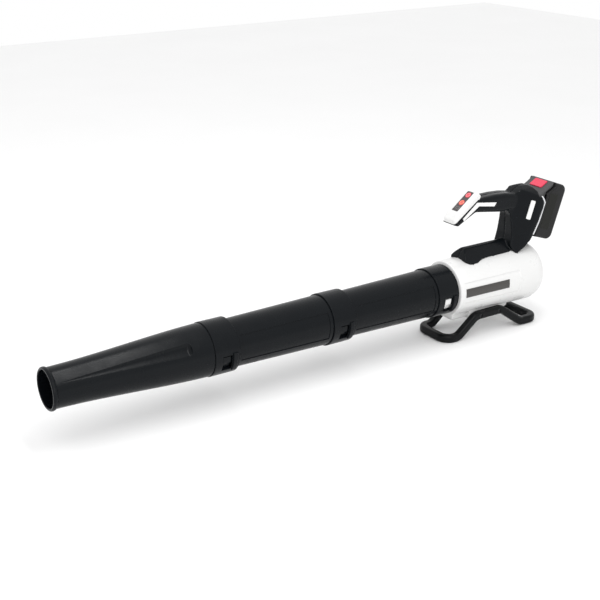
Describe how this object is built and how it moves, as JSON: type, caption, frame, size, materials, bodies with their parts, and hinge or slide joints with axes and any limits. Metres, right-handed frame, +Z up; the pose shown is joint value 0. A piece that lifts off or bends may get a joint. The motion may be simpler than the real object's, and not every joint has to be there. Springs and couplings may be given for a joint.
{
  "type": "leaf blower",
  "caption": "Cordless handheld leaf blower: tapered nozzle on twist-lock extension tubes, drum motor housing, open handle with slide-on battery, bent-bar stand.",
  "frame": {"origin": "centre of the bounding box's base, on the ground under the stand", "axes": "+Y along the air axis from the nozzle's mouth towards the rear intake and battery, +Z up, +X towards the blower's right side"},
  "size_m": [0.12, 1.098, 0.2839],
  "materials": {
    "black_plastic": "satin moulded",
    "white_plastic": "smooth gloss",
    "badge_plastic": "gloss",
    "inner_plastic": "moulded",
    "rubber": "matt",
    "motor_steel": "brushed",
    "steel": "zinc plated",
    "steel_black": "black oxide",
    "aluminium": "cast",
    "copper": "enamelled copper",
    "impeller_plastic": "glass filled",
    "stand_plastic": "satin",
    "stripe_plastic": "gloss",
    "button_red": "translucent gloss",
    "panel_plastic": "gloss",
    "lamp": "frosted",
    "circuit_board": "solder mask",
    "capacitor_sleeve": "sleeve",
    "lead_sleeve": "silicone",
    "battery_black": "fine texture",
    "battery_grey": "fine texture",
    "cell_wrap": "shrink sleeve",
    "release_red": "gloss",
    "trim_silver": "silver gloss"
  },
  "bodies": {
    "blower": {"outlet_spigot": "white_plastic", "housing_left": "white_plastic", "housing_right": "white_plastic", "housing_screws": "steel", "badge_left": "badge_plastic", "badge_right": "badge_plastic", "intake_grille": "white_plastic", "dust_screen": "inner_plastic", "fan_duct": "inner_plastic", "duct_mounts": "rubber", "motor_can": "motor_steel", "motor_end_cap": "aluminium", "motor_stator": "motor_steel", "motor_coils": "copper", "motor_bearings": "steel", "tail_cone": "inner_plastic", "stand": "stand_plastic", "stand_screws": "steel_black", "handle_left": "black_plastic", "handle_right": "black_plastic", "handle_screws": "steel_black", "stripe_right": "stripe_plastic", "stripe_left": "stripe_plastic", "side_plate_right": "stripe_plastic", "side_plate_left": "stripe_plastic", "control_cover": "white_plastic", "control_panel": "panel_plastic", "indicator_lamps": "lamp", "button_board": "circuit_board", "tact_switches": "inner_plastic", "terminal_block": "inner_plastic", "terminal_blades": "copper", "controller_board": "circuit_board", "heat_sink": "aluminium", "capacitor": "capacitor_sleeve", "motor_leads": "lead_sleeve", "lead_grommet": "rubber", "mount_trim": "trim_silver"},
    "fan": {"motor_shaft": "steel", "motor_rotor": "motor_steel", "impeller": "impeller_plastic", "impeller_nut": "aluminium"},
    "power_key": {"power_button": "button_red"},
    "speed_key": {"speed_button": "button_red"},
    "battery": {"battery_case": "battery_black", "battery_cells": "cell_wrap", "battery_rails": "battery_black", "battery_cap": "battery_grey", "release_spring": "steel"},
    "release_key": {"battery_release": "release_red"},
    "rear_extension": {"rear_tube": "black_plastic"},
    "front_extension": {"front_tube": "black_plastic"},
    "nozzle_body": {"nozzle": "black_plastic"}
  },
  "joints": [
    {"name": "fan_spin", "type": "hinge", "parent": "blower", "child": "fan", "pos_m": [0, 0.44, 0.098], "axis": [0, 1, 0], "continuous": true},
    {"name": "power_press", "type": "slide", "parent": "blower", "child": "power_key", "axis": [0, 0.6157, -0.788], "range_m": [0, 0.0012], "stiffness_N_per_m": 900, "springref_m": -0.0008},
    {"name": "speed_press", "type": "slide", "parent": "blower", "child": "speed_key", "axis": [0, 0.6157, -0.788], "range_m": [0, 0.0012], "stiffness_N_per_m": 900, "springref_m": -0.0008},
    {"name": "battery_slide", "type": "slide", "parent": "blower", "child": "battery", "axis": [0, 0.3156, 0.9489], "range_m": [0, 0.085]},
    {"name": "release_press", "type": "slide", "parent": "battery", "child": "release_key", "axis": [0, 0.4839, -0.8751], "range_m": [0, 0.0017], "stiffness_N_per_m": 900, "springref_m": -0.0015, "deforming": ["release_spring"]},
    {"name": "rear_tube_twist", "type": "hinge", "parent": "blower", "child": "rear_extension", "pos_m": [0, 0.25, 0.098], "axis": [0, -1, 0], "range_deg": [0, 17]},
    {"name": "front_tube_twist", "type": "hinge", "parent": "rear_extension", "child": "front_extension", "pos_m": [0, 0.006, 0.098], "axis": [0, -1, 0], "range_deg": [0, 17]},
    {"name": "nozzle_twist", "type": "hinge", "parent": "front_extension", "child": "nozzle_body", "pos_m": [0, -0.238, 0.098], "axis": [0, -1, 0], "range_deg": [0, 17]}
  ]
}
